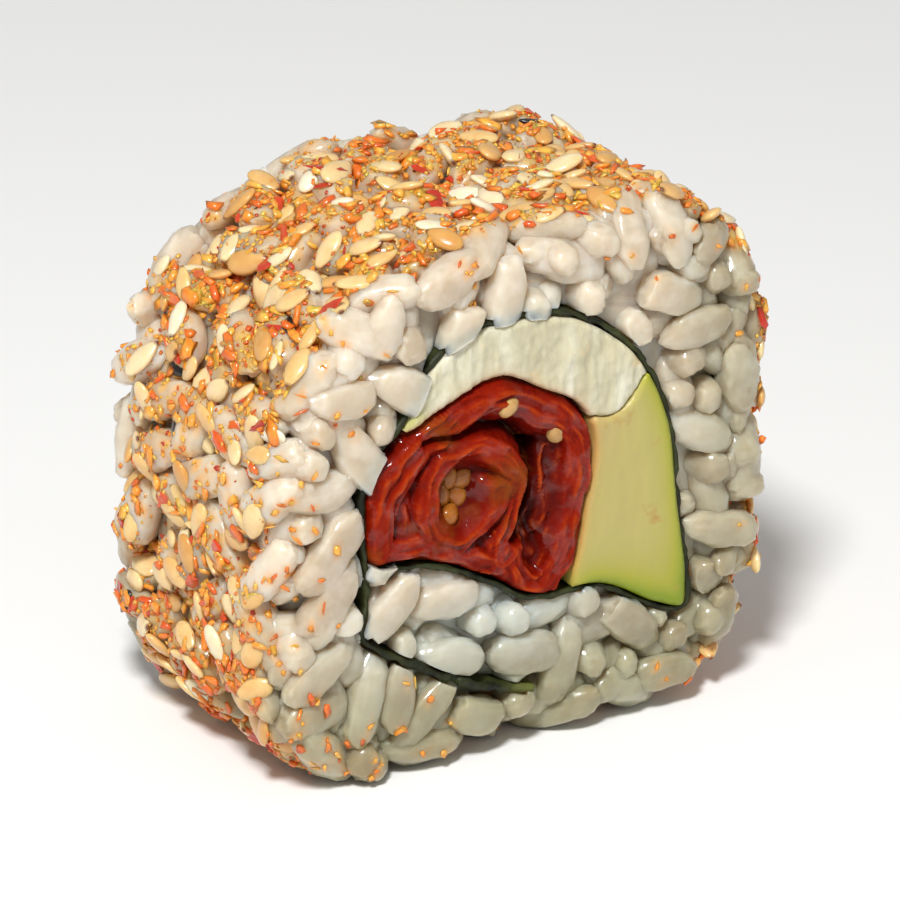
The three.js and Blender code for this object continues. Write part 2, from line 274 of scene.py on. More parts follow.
# Small forms, one unit long, wide and thick, with their length along Y and their flat side facing Z
def round_form(around, rings, taper=0.0, fullness=2.0, flatness=2.0):
    """A rounded body that narrows towards +Y by its taper. Over 2, fullness squares its ends off.

    Over 2, flatness squares its section off.
    """
    points, faces = [(0, -0.5, 0)], []
    for ring in range(1, rings):
        y = -math.cos(math.pi * ring / rings)
        r = (1 - abs(y) ** fullness) ** 0.5 * (1 - taper * y)
        for k in range(around):
            c, s = math.cos(2 * math.pi * k / around), math.sin(2 * math.pi * k / around)
            reach = r / (abs(c) ** flatness + abs(s) ** flatness) ** (1 / flatness)
            points.append((reach * c / 2, y / 2, reach * s / 2))
    points.append((0, 0.5, 0))
    last = len(points) - 1
    for k in range(around):
        after = (k + 1) % around
        faces.append((0, 1 + k, 1 + after))
        faces.append((last, last - around + after, last - around + k))
        for ring in range(rings - 2):
            low = 1 + ring * around
            faces.append((low + k, low + around + k, low + around + after, low + after))
    return np.array(points), faces


def placed(form, pieces, shape=None):
    """Points and faces of all pieces of one form. Shape may change each one's points before it is placed."""
    unit, faces = form
    all_points, all_faces = [], []
    for number, piece in enumerate(pieces):
        length, width, thickness = piece["size"]
        own = unit * (width, length, thickness)
        if shape:
            own = shape(own, piece)
        side = piece["along"].cross(piece["facing"]).normalized()
        out = side.cross(piece["along"]).normalized()
        basis = np.array([side, piece["along"], out])
        all_points.append(own @ basis + np.array(piece["at"]))
        all_faces += [tuple(number * len(unit) + i for i in face) for face in faces]
    return np.vstack(all_points), all_faces


def spine(piece):
    """Three points along a piece, by which it keeps clear of the others."""
    reach = max(0, piece["size"][0] - piece["size"][1]) / 2
    return np.array([piece["at"] + piece["along"] * s for s in (-reach, 0, reach)])


def scatter(tries, apart, propose):
    """Pieces proposed one by one, the largest first, and kept if they stay far enough apart."""
    kept, spots = [], np.empty((0, 3))
    for i in range(tries):
        piece = propose(1.08 - 0.22 * i / tries)
        if piece is None:
            continue
        if apart:
            own = spine(piece)
            if len(spots) and np.min(np.linalg.norm(spots[None] - own[:, None], axis=2)) < apart:
                continue
            spots = np.vstack([spots, own])
        kept.append(piece)
    return kept


def on_coat(u, y, depth=0.0):
    """A place on the coat, the direction round the roll there, and outwards. It turns in at the rims."""
    i = int(u * len(SECTION)) % len(SECTION)
    turn = math.asin(min(1.0, max(0.0, abs(y) - (END - RIM)) / RIM))
    (x, z), (nx, nz) = SECTION[i], SECTION_OUT[i]
    inwards = RIM * (math.cos(turn) - 1)
    out = Vector((nx * math.cos(turn), math.copysign(math.sin(turn), y), nz * math.cos(turn)))
    at = Vector((x + nx * inwards, y, z + nz * inwards)) - out * depth
    return at, Vector((-nz, 0, nx)), out


# Rice
FACE_BORDER = roll_section(1.9)  # where the middles of the grains on a cut face end
ON_END = 0.15  # the share of those grains that stand on end
BROKEN = 0.2  # the share of grains with a broken end
DENTS = 0.15
SHARP_EDGE = math.radians(60)
# Layers of grains: depth, tries, distance apart and spread of the depth
COAT_LAYERS = [(2.3, 6000, 1.9, 0.15), (1.3, 14000, 2.08, 0.18)]
FACE_LAYERS = [(0.95, 8000, 1.9, 0.2), (0.0, 12000, 2.08, 0.22)]


def coat_grains(rng, depth, tries, apart, spread):
    def propose(share):
        share *= rng.uniform(0.92, 1.08)
        size = (GRAIN[0] * share * rng.uniform(0.88, 1.1), GRAIN[1] * share, GRAIN[2] * share)
        y = rng.uniform(-1, 1) * (END - 0.4)
        at, round_way, out = on_coat(rng.random(), y, depth + rng.uniform(-spread, spread))
        along = Matrix.Rotation(rng.uniform(0, math.pi), 3, out) @ round_way
        along = (along + out * rng.uniform(-0.16, 0.16)).normalized()
        tip = abs(at.y) + abs(along.y) * size[0] / 2
        return None if tip > END else {"size": size, "at": at, "along": along, "facing": out}

    return scatter(tries, apart, propose)


def face_grains(rng, side, depth, tries, apart, spread):
    outwards = Vector((0, side, 0))

    def propose(share):
        share *= rng.uniform(0.92, 1.08)
        x, z = rng.uniform(-0.5, 0.5) * ROLL_WIDTH, rng.uniform(0, ROLL_HEIGHT)
        if not inside(FACE_BORDER, x, z) or inside(NORI_LOOP, x, z):
            return None
        turn = rng.uniform(0, math.pi)
        lying = Vector((math.cos(turn), 0, math.sin(turn)))
        on_end = rng.random() < ON_END
        if on_end:
            along = (outwards + 0.7 * lying * rng.uniform(-1, 1)).normalized()
            facing = lying
        else:
            along = (lying + outwards * rng.uniform(-0.2, 0.2)).normalized()
            facing = outwards
        length = GRAIN[0] * share * (0.75 if on_end else rng.uniform(0.85, 1.08))
        size = (length, GRAIN[1] * share, GRAIN[2] * share)
        reach = abs(along.y) * length / 2 + (1 - abs(along.y)) * size[2] / 2
        at = Vector((x, side * (END - depth - reach + rng.uniform(-spread, spread)), z))
        piece = {"size": size, "at": at, "along": along, "facing": facing}
        hides_nori = x < 4 and z > 15
        clear = 0.1 if hides_nori else NORI_THICKNESS / 2 + size[1] * 0.27
        for px, _, pz in spine(piece):
            from_nori = np.min(np.hypot(NORI_LINE[:, 0] - px, NORI_LINE[:, 1] - pz))
            if from_nori < clear or not inside(FACE_BORDER, px, pz):
                return None
        return piece

    return scatter(tries, apart, propose)


def grain_shape(rng):
    """Each grain is bent and dented a little in its own way, and some have a broken end."""

    def shape(own, piece):
        length, width, _ = piece["size"]
        bent = own.copy()
        if rng.random() < BROKEN:
            broken = length * rng.uniform(0.2, 0.4) + own[:, 0] * rng.uniform(-0.5, 0.5)
            bent[:, 1] -= 0.8 * np.maximum(own[:, 1] - broken, 0)
        bent[:, 0] += rng.uniform(-0.3, 0.3) * (own[:, 1] / length) ** 2 * width
        bent[:, 2] += rng.uniform(-0.35, 0.1) * (own[:, 1] / length) ** 2 * width
        start = Vector((rng.uniform(0, 90), rng.uniform(0, 90), 0))
        dents = np.array([noise.fractal(Vector(p) * 0.6 + start, 0.5, 2.3, 3) for p in own])
        return bent * (1 + DENTS * dents)[:, None]

    return shape


def core_mesh():
    """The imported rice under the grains."""
    rows = []
    for side in (-1, 1):
        turns = np.linspace(0.5, 0, 5)[::-side] * math.pi
        for turn in turns:
            y = side * (END - CORE_DEPTH - RIM + RIM * math.sin(turn))
            rows.append((y, CORE_DEPTH + RIM * (1 - math.cos(turn))))
    points = [(x, y, z) for y, inset in rows for x, z in roll_section(inset)]
    n = len(points) // len(rows)
    faces = [tuple(range(n)), tuple(reversed(range(len(points) - n, len(points))))]
    for row in range(len(rows) - 1):
        for k in range(n):
            a, b = row * n + k, row * n + (k + 1) % n
            faces.append((a, a + n, b + n, b))
    return points, faces


def join(piece, others):
    """The union of a piece with others that are each one closed body."""
    heap = bpy.data.collections.new("heap")
    bpy.context.scene.collection.children.link(heap)
    for other in others:
        bpy.context.scene.collection.objects.unlink(other)
        heap.objects.link(other)
    modifier = piece.modifiers.new("joined", "BOOLEAN")
    modifier.operation = "UNION"
    modifier.solver = "MANIFOLD"
    modifier.operand_type = "COLLECTION"
    modifier.collection = heap
    apply_modifiers(piece)
    for other in others:
        bpy.data.objects.remove(other)
    bpy.data.collections.remove(heap)


def press_flat(rice):
    """The knife presses flatter what stands out of the cut faces."""
    points = vertices_of(rice)
    proud = np.maximum(np.abs(points[:, 1]) - KNIFE, 0)
    points[:, 1] -= np.sign(points[:, 1]) * proud * PRESSED
    move_vertices(rice, points)
    return points


def paint_rice(rice, points, grains, tones):
    """Each grain has its own tone. Below and on the right the rice is painted darker and greener: painted
    shade, with some damp greening below. It is cool low on the faces.
    """
    tree = point_tree([at for grain in grains for at in spine(grain)])
    paint(rice, "tone", [tones[tree.find(p)[1] // 3] for p in points])
    x, z = points[:, 0], points[:, 2]
    low = np.clip((14 - z) / 9, 0, 1)
    right = np.clip((x - 9) / 6, 0, 1)
    # painted shade below and on the right, with damp greening below
    paint(rice, "shade_and_damp", 0.85 * low + 0.6 * right * (1 - low))
    paint(rice, "cool", 0.6 * np.exp(-(((x + 2) / 7) ** 2) - ((z - 10) / 2.8) ** 2))


def make_rice():
    rng = random.Random(7)
    grains = []
    for layer in COAT_LAYERS:
        grains += coat_grains(rng, *layer)
    for side in (-1, 1):
        for layer in FACE_LAYERS:
            grains += face_grains(rng, side, *layer)
    form = round_form(18, 13, 0.08, 2.6, 2.4)
    shape = grain_shape(rng)
    rice = add_mesh("cooked_rice", *core_mesh())
    join(rice, [add_mesh("grain", *placed(form, [grain], shape)) for grain in grains])
    cut(rice, prism("room", ROOM, -2 * END, 2 * END))
    cut(rice, prism("sheet", ribbon(NORI_LINE[::3], NORI_THICKNESS + 2 * GAP), -ROOM_END, ROOM_END))
    cut(rice, prism("tail", ribbon(TAIL_LINE[::3], TAIL_THICKNESS + 2 * GAP), -2 * END, 2 * END))
    table = [(-ROLL_WIDTH, -ROLL_HEIGHT), (ROLL_WIDTH, -ROLL_HEIGHT), (ROLL_WIDTH, 0), (-ROLL_WIDTH, 0)]
    cut(rice, prism("table", table, -ROLL_WIDTH, ROLL_WIDTH))
    settled = press_flat(rice)
    rice.data.shade_smooth()
    rice.data.set_sharp_from_angle(angle=SHARP_EDGE)
    paint_rice(rice, settled, grains, [rng.random() for _ in grains])
    return rice


# The coat of seeds, flakes and crumbs
LOWEST = 0.4  # the coat ends this far above the table


def coat_density(at, out):
    """How thickly a place on the coat is strewn: least halfway up the left side and by the rims."""
    around = 0.78 + 0.4 * max(0.0, out.z) + 0.2 * max(0.0, out.x)
    around -= 0.42 * max(0.0, -out.x) * math.exp(-(((at.z - 21) / 6.5) ** 2))
    patches = 1 + 0.8 * noise.noise(Vector(at) * 0.3)
    bare = 1.2 - 3.0 * max(0.0, out.x)
    rim = min(1.0, max(0.0, (END - bare - abs(at.y)) / 1.8))
    return around * patches * rim


def toppings(rice_tree, rng, size, tries, apart, sink, size_range, smallness=1.0, sharpness=1.0):
    def propose(share):
        share *= size_range[0] + (size_range[1] - size_range[0]) * rng.random() ** smallness
        u, y = rng.random(), rng.uniform(-1, 1) * (END - 0.15)
        start, round_way, out = on_coat(u, y, -4)
        if rng.random() > coat_density(start, out) ** sharpness:
            return None
        hit, normal, _, _ = rice_tree.ray_cast(start, -out)
        if hit is None:
            return None
        tilt = Vector([rng.uniform(-0.4, 0.4) for _ in range(3)])
        facing = (normal * 0.7 + out * 0.5 + tilt).normalized()
        along = Matrix.Rotation(rng.uniform(0, 2 * math.pi), 3, out) @ round_way
        along = (along - facing * along.dot(facing)).normalized()
        own = tuple(s * share for s in size)
        at = hit + facing * (own[2] / 2 - sink)
        middle = np.array(at)
        reach = np.abs(along) * own[0] / 2 + np.abs(facing) * own[2] / 2
        outside = np.any(middle - reach < BOX_LOW) or np.any(middle + reach > BOX_HIGH)
        if outside or at.z < LOWEST + own[1] / 2:
            return None
        # Lower down the coat the tones run lower, so seeds and crumbs are browner and darker there: painted
        # shade.
        tone = rng.random() * min(1, 0.45 + at.z / 30)
        return {"size": own, "at": at, "along": along, "facing": facing, "tone": tone}

    return scatter(tries, apart, propose)


def face_crumbs(rice_tree, rng, side, tries):
    """A few crumbs that fell on a cut face, more of them near its rim and on the left."""
    kept = []
    for _ in range(tries):
        x, z = rng.uniform(-0.5, 0.5) * ROLL_WIDTH, rng.uniform(0, ROLL_HEIGHT)
        strewn = math.exp(-distance_to(SECTION, [(x, z)])[0] / 2.6) * (1 if x < -4 else 0.35)
        if inside(NORI_LOOP, x, z) or not inside(SECTION, x, z) or rng.random() > strewn:
            continue
        outwards = Vector((0, side, 0))
        hit, normal, _, _ = rice_tree.ray_cast(Vector((x, side * 2 * END, z)), -outwards)
        if hit is None or hit.z < CRUMB[0]:
            continue
        along = Matrix.Rotation(rng.uniform(0, 2 * math.pi), 3, normal) @ normal.orthogonal().normalized()
        own = tuple(s * rng.uniform(0.4, 1.3) for s in CRUMB)
        at = hit + normal * own[2] * 0.2
        kept.append({"size": own, "at": at, "along": along, "facing": normal, "tone": rng.random()})
    return kept


def seed_shape(own, piece):
    """A drop: broad at one end, pointed at the other, with flatter faces."""
    s = own[:, 1] / piece["size"][0]
    shaped = own.copy()
    shaped[:, 0] *= 1.06 - 2.3 * np.clip(s, 0, 1) ** 2
    shaped[:, 2] *= 1 - 0.5 * np.clip(s, 0, 1)
    return shaped


def crumb_shape(rng):
    """A broken bit, with its own corners."""

    def shape(own, piece):
        start = Vector((rng.uniform(0, 90), rng.uniform(0, 90), 0))
        scale = 2.6 / piece["size"][0]
        bumps = [noise.noise(Vector(p) * scale + start) for p in own]
        stretched = own * (rng.uniform(0.5, 1.2), rng.uniform(0.7, 1.4), rng.uniform(0.7, 1.2))
        return stretched * (1 + 0.9 * np.array(bumps))[:, None]

    return shape


def tree_of(piece):
    points = [Vector(p) for p in vertices_of(piece)]
    return BVHTree.FromPolygons(points, [tuple(f.vertices) for f in piece.data.polygons])


def strew(name, form, pieces, shape=None, smooth_shaded=True):
    points, faces = placed(form, pieces, shape)
    piece = add_mesh(name, points, faces, smooth_shaded)
    n = len(form[0])
    paint(piece, "tone", np.repeat([p["tone"] for p in pieces], n))
    paint(piece, "tip", np.tile(form[0][:, 1] + 0.5, len(pieces)))
    return piece


# The nori sheet
def sheet_faces(n, rows):
    """Faces of a closed sheet of two nets, each of so many rows of n points."""
    top, faces = rows * n, []
    for r in range(rows - 1):
        for i in range(n - 1):
            a = r * n + i
            faces.append((a, a + 1, a + n + 1, a + n))
            faces.append((top + a, top + a + n, top + a + n + 1, top + a + 1))
    for i in range(n - 1):
        faces.append((i, top + i, top + i + 1, i + 1))
        a = (rows - 1) * n + i
        faces.append((a, a + 1, top + a + 1, top + a))
    for r in range(rows - 1):
        a = r * n
        faces.append((a, a + n, top + a + n, top + a))
        b = a + n - 1
        faces.append((b, top + b, top + b + n, b + n))
    return faces


def make_nori():
    line = evenly(smooth(NORI_KNOTS, 600), NORI_STEP)
    n = len(line)
    across = sideways(line)
    tail = np.clip((np.arange(n) - nearest(line, TAIL_START)) * NORI_STEP / TAIL_SWELLS, 0, 1)
    points = []
    for face in (1, -1):
        for share in np.linspace(-1, 1, NORI_ROWS):
            for i, ((x, z), (nx, nz)) in enumerate(zip(line, across)):
                y = share * (NORI_END + (TAIL_END - NORI_END) * tail[i])
                wave = noise.noise(Vector((i * 0.05, y * 0.25, 3))) * 0.09
                rough = 0.9 + 0.9 * noise.fractal(Vector((i * 0.16, y * 0.5, face)), 0.7, 2.1, 3)
                thickness = NORI_THICKNESS + (TAIL_THICKNESS - NORI_THICKNESS) * tail[i]
                by = wave + face * (thickness / 2 * min(1.1, max(0.3, rough)))
                torn = 0
                if abs(share) == 1:
                    torn = abs(NORI_TEAR * noise.fractal(Vector((i * 0.09, 7, share)), 0.6, 2.0, 2))
                points.append((x + nx * by, y - math.copysign(torn, y), z + nz * by))
    sheet = add_mesh("nori_sheet", points, sheet_faces(n, NORI_ROWS))
    frayed = np.clip((np.arange(n) - n + FRAYED_POINTS) / FRAYED_BLEND, 0, 1)
    paint(sheet, "frayed", np.tile(frayed, 2 * NORI_ROWS))
    return sheet


# The filling: a piece with two cut faces, each a fine net of points that a relief function moves
SIDE_LAYERS = 14  # rows of faces from one cut face to the other


def filled_net(outline, step, rng):
    """Points and triangles over the inside of an outline. The outline's points come first."""
    low, high = outline.min(0), outline.max(0)
    grid = []
    rows = int((high[1] - low[1]) / (step * 0.87)) + 1
    cols = int((high[0] - low[0]) / step) + 1
    for r in range(rows):
        for c in range(cols):
            x = low[0] + step * (c + 0.5 * (r % 2)) + rng.uniform(-0.15, 0.15) * step
            z = low[1] + step * 0.87 * r + rng.uniform(-0.15, 0.15) * step
            if inside(outline, x, z):
                grid.append((x, z))
    grid = np.array(grid)
    grid = grid[distance_to(outline, grid) > step * 0.6]
    n = len(outline)
    points = [Vector(p) for p in np.vstack([outline, grid])]
    edges = [(i, (i + 1) % n) for i in range(n)]
    net, _, triangles, *_ = delaunay_2d_cdt(points, edges, [], 1, 1e-5)
    return np.array([tuple(p) for p in net]), [tuple(t) for t in triangles]


def make_filling(name, outline, end, step, relief):
    """Relief gives, for points of the section, how far a cut face lies beyond its plane."""
    net, triangles = filled_net(outline, step, random.Random(3))
    n, total = len(outline), len(net)
    points, faces = [], []
    for side in (-1, 1):
        height = relief(net, side)
        points += [(x, side * (end + h), z) for (x, z), h in zip(net, height)]
        offset = 0 if side < 0 else total
        for a, b, c in triangles:
            turn = np.cross(net[b] - net[a], net[c] - net[a])
            order = (a, b, c) if (turn > 0) == (side < 0) else (a, c, b)
            faces.append(tuple(offset + i for i in order))
    front = np.array([points[i][1] for i in range(n)])
    back = np.array([points[total + i][1] for i in range(n)])
    rings = [list(range(n))]
    for layer in range(1, SIDE_LAYERS):
        share = layer / SIDE_LAYERS
        rings.append(list(range(len(points), len(points) + n)))
        points += [(x, f + (b - f) * share, z) for (x, z), f, b in zip(outline, front, back)]
    rings.append([total + i for i in range(n)])
    for ring, following in zip(rings, rings[1:]):
        for i in range(n):
            j = (i + 1) % n
            faces.append((ring[i], following[i], following[j], ring[j]))
    return add_mesh(name, points, faces)


def noise_at(places, detail=3):
    """Smooth noise from about -1 to 1."""
    return np.array([noise.fractal(Vector(place), 0.6, 2.1, detail) for place in places])


def waves(points, scale, seed, detail=3):
    """Noise over points of the section. Scale is in waves a millimetre for each direction."""
    return noise_at([(x * scale[0], z * scale[1], seed) for x, z in points], detail)


TOMATO_TOP = evenly(smooth(TOMATO_KNOTS, 300, closed=True), 0.17, closed=True)
SEAM = smooth(SEAM_KNOTS, 24)

# The tomato is a thick skin rolled up: its cut edges stand out as ridges, with folds between them
TOMATO_RIDGES = [  # the line of each ridge, its half width and its level
    ([(-11.3, 16.9), (-11.2, 19.4), (-9.8, 22.2), (-7.4, 24.0), (-3.0, 25.7), (0.6, 24.5), (3.2, 22.6),
      (4.2, 19.8), (4.0, 16.6), (3.3, 13.9), (1.9, 11.9), (0.1, 11.8), (-1.2, 13.2), (-2.0, 15.0)],
     1.25, 0.0),
    ([(-1.9, 14.6), (-1.3, 16.6), (-0.9, 18.6), (-0.9, 20.3), (-2.0, 21.5), (-4.2, 22.6), (-6.3, 22.2),
      (-7.5, 20.6), (-7.6, 18.7), (-6.6, 16.9), (-4.9, 16.6), (-3.2, 17.9), (-2.3, 19.6)], 1.0, 0.1),
    ([(-11.2, 16.6), (-8.6, 16.6), (-6.2, 15.7), (-4.2, 14.7), (-2.4, 13.7)], 0.95, -0.1),
    ([(-9.9, 21.4), (-9.3, 19.0), (-9.0, 16.9)], 0.8, -0.35),
    ([(1.9, 21.2), (2.2, 18.6), (1.7, 15.6)], 0.75, -0.9),
]
TOMATO_CLEFT = [(0.6, 21.6), (0.5, 19.8), (0.3, 18.2), (-0.2, 16.6), (-0.9, 15.4)]
TOMATO_GROOVE = [(-8.2, 23.6), (-5.6, 23.8), (-3.0, 23.9), (-0.8, 23.0), (0.6, 21.6)]
POCKET = (-5.0, 19.5)
VALLEY = -1.3  # the folds' usual depth
DEEPEST = 3.6  # the cleft
AMBER_SEEDS = [(-5.4, 20.4), (-4.3, 20.1), (-5.9, 19.2), (-4.7, 18.9), (-5.6, 18.0)]  # in the pocket
PALE_SEEDS = [(2.2, 22.2), (-1.6, 24.9)]


def tomato_outline():
    left, right = (-11.9, 21.5), (2.6, 11.2)
    over = stretch(TOMATO_TOP, right, left)
    under = stretch(ROOM, left, right)
    return evenly(np.vstack([over, under]), 0.2, closed=True)


def groove(knots, net, width, depth):
    away = distance_to(evenly(smooth(knots, 120), 0.1), net)
    return depth * np.exp(-((away / width) ** 2))


def tomato_relief(net, side):
    drift = 0.5 * np.stack([waves(net, (0.3, 0.3), 20 + k, 2) for k in (0, 1)], axis=1)
    bent = net + drift
    height = VALLEY + 0.45 * waves(bent, (0.7, 0.7), 40 + side, 2)
    for number, (knots, width, level) in enumerate(TOMATO_RIDGES):
        away, run = beside(evenly(smooth(knots, 200), 0.1), bent)
        fibres = noise_at(np.stack([away * 1.5, run * 0.28, np.full(len(run), 10 * number + side)], axis=1))
        share = away / width
        crown = 0.3 * np.sqrt(np.clip(1 - share**2, 0, 1)) - 0.3
        ridge = level + crown - 1.3 * np.clip(share - 0.85, 0, None)
        height = np.maximum(height, ridge + 0.28 * fibres)
    height -= groove(TOMATO_CLEFT, bent, 0.42, DEEPEST) + groove(TOMATO_GROOVE, bent, 0.25, 0.8)
    pocket = np.hypot((bent[:, 0] - POCKET[0]) / 1.3, (bent[:, 1] - POCKET[1]) / 1.9)
    height = np.minimum(height, -1.5 + 1.7 * np.clip(pocket - 0.7, 0, None))
    return height + 0.25 * waves(bent, (0.45, 0.45), 5 + side, 1) - 0.2


def standing_out(points, radius):
    """How far each point lies beyond the middle of its neighbours, along the roll's axis."""
    tree = point_tree(points)
    ys = np.abs(points[:, 1])
    return ys - np.array([np.mean([ys[i] for _, i, _ in tree.find_range(p, radius)]) for p in points])


def make_tomato():
    piece = make_filling("tomato_roll", tomato_outline(), TOMATO_END, 0.17, tomato_relief)
    points = vertices_of(piece)
    # Crest and edge carry painted light and shade: by the crest the material paints the deep folds near
    # black, and by the edge it lightens the ridges' edges and darkens the hollows.
    paint(piece, "crest", 1 + (np.abs(points[:, 1]) - TOMATO_END) / 2.4)
    paint(piece, "edge", 0.5 + 2.5 * standing_out(points, 0.6))
    return piece


def make_tomato_seeds(tomato, rng):
    """Seeds that lie in the tomato's pocket and folds, seen from each cut face."""
    tree = tree_of(tomato)
    spots = [(place, True) for place in AMBER_SEEDS] + [(place, False) for place in PALE_SEEDS]
    seeds = []
    for side in (-1, 1):
        outwards = Vector((0, side, 0))
        for (x, z), amber in spots:
            hit, normal, _, _ = tree.ray_cast(Vector((x, side * 2 * END, z)), -outwards)
            facing = (normal + outwards).normalized()
            along = Matrix.Rotation(rng.uniform(0, math.pi), 3, outwards) @ Vector((1, 0, 0))
            along = (along - facing * along.dot(facing)).normalized()
            size = [s * rng.uniform(0.85, 1.2) for s in TOMATO_SEED]
            at = hit + facing * size[2] * (0.1 if amber else -0.15)
            tone = 0.15 if amber else 0.8
            seeds.append({"size": size, "at": at, "along": along, "facing": facing, "tone": tone})
    return strew("tomato_seeds", round_form(16, 12, 0.15), seeds)


def cheese_outline():
    left, right = (-9.4, 24.9), (8.9, 24.8)
    under = stretch(moved(TOMATO_TOP, GAP, closed=True), (4.9, 22.9), left)[::-1]
    return evenly(np.vstack([stretch(ROOM, right, left), under, moved(SEAM, -GAP / 2)]), 0.2, closed=True)


def cheese_relief(net, side):
    streaks = 0.09 * waves(net, (2.2, 0.35), 1 + side, 3)
    return streaks + 0.22 * waves(net, (0.45, 0.4), 8 + side) - 0.15


def avocado_outline():
    under = stretch(moved(TOMATO_TOP, GAP, closed=True), (3.9, 12.2), (5.0, 22.4))[::-1]
    outer = stretch(ROOM, (3.9, 11.3), (8.9, 24.8))
    return evenly(np.vstack([outer, moved(SEAM, GAP / 2)[::-1], under]), 0.2, closed=True)


def avocado_relief(net, side):
    return 0.07 * waves(net, (0.25, 0.2), 4 + side, 2) + 0.03 * waves(net, (1.5, 0.5), 9 + side) - 0.1


def soften_rim(piece, outline, end, radius):
    """The cut faces round over into the sides."""
    points = vertices_of(piece)
    near = distance_to(evenly(outline, 0.1, closed=True), points[:, (0, 2)])
    drop = radius * (1 - np.sqrt(np.clip(1 - (1 - np.clip(near / radius, 0, 1)) ** 2, 0, 1)))
    on_face = np.abs(points[:, 1]) > end - 1.2
    points[:, 1] -= np.sign(points[:, 1]) * drop * on_face
    move_vertices(piece, points)


def paint_juice(piece):
    """The tomato's oil, which colours what touches it."""
    away = distance_to(TOMATO_TOP, vertices_of(piece)[:, (0, 2)])
    paint(piece, "juice", 0.75 * np.exp(-away / JUICE_REACH))


def paint_cheese(cheese):
    """The avocado's green is smeared over a corner of the cheese, and the tomato's oil along its edge."""
    points = vertices_of(cheese)
    x, z = points[:, 0], points[:, 2]
    paint(cheese, "smear", 0.8 * np.exp(-(((x + 9.6) / 1.2) ** 2) - ((z - 25.8) / 1.6) ** 2))
    paint_juice(cheese)


def paint_avocado(avocado):
    """The flesh is greener towards its outer edge and its lower end, and beige at the top."""
    points = vertices_of(avocado)
    x, z = points[:, 0], points[:, 2]
    outer_edge = distance_to(stretch(ROOM, (5.0, 10.4), (9.3, 24.8)), points[:, (0, 2)])
    lower = np.clip((15 - z) / 8, 0, 1)
    beige = np.clip((z - 18) / 6, 0, 1) * np.clip((9 - x) / 5, 0, 1)
    paint(avocado, "ripe", 0.3 + 0.6 * np.exp(-outer_edge / 0.9) + 0.5 * lower**1.5 - 0.3 * beige)
    paint_juice(avocado)


# Materials
RICE_TONES = [(0.0, (0.44, 0.355, 0.255)), (0.5, (0.54, 0.455, 0.34)), (1.0, (0.63, 0.56, 0.455))]
TOMATO_SEED_TONES = [(0.0, (0.30, 0.085, 0.008)), (0.5, (0.46, 0.20, 0.03)), (1.0, (0.66, 0.46, 0.20))]
BROWN = (0.11, 0.035, 0.012)
# For each kind of seed: the material, three tones of its hull, and its tip
SEED_COLOURS = {
    "sesame_toasted": ("toasted_seeds", (0.62, 0.33, 0.09), (0.78, 0.54, 0.24), (0.86, 0.70, 0.44), BROWN),
    "sesame_pale": ("pale_seeds", (0.78, 0.60, 0.34), (0.84, 0.70, 0.47), (0.88, 0.80, 0.63), BROWN),
    "sesame_black": (
        "black_seeds", (0.010, 0.008, 0.008), (0.014, 0.011, 0.012), (0.03, 0.02, 0.02), (0.01, 0.01, 0.01)),
}
# For each kind of seasoning: the material and its tones
SEASONING_COLOURS = {
    "chilli_flakes": (
        "chilli", (0.0, (0.42, 0.02, 0.008)), (0.5, (0.60, 0.06, 0.012)), (1.0, (0.75, 0.17, 0.02))),
    "seasoning_crumbs": (
        "crumbs", (0.0, (0.70, 0.12, 0.015)), (0.4, (0.84, 0.29, 0.025)), (1.0, (0.88, 0.50, 0.08))),
    "seasoning_dust": (
        "dust", (0.0, (0.50, 0.05, 0.01)), (0.3, (0.82, 0.26, 0.02)), (1.0, (0.90, 0.52, 0.08))),
    "dark_specks": ("specks", (0.0, (0.03, 0.012, 0.008)), (1.0, (0.09, 0.03, 0.012))),
}


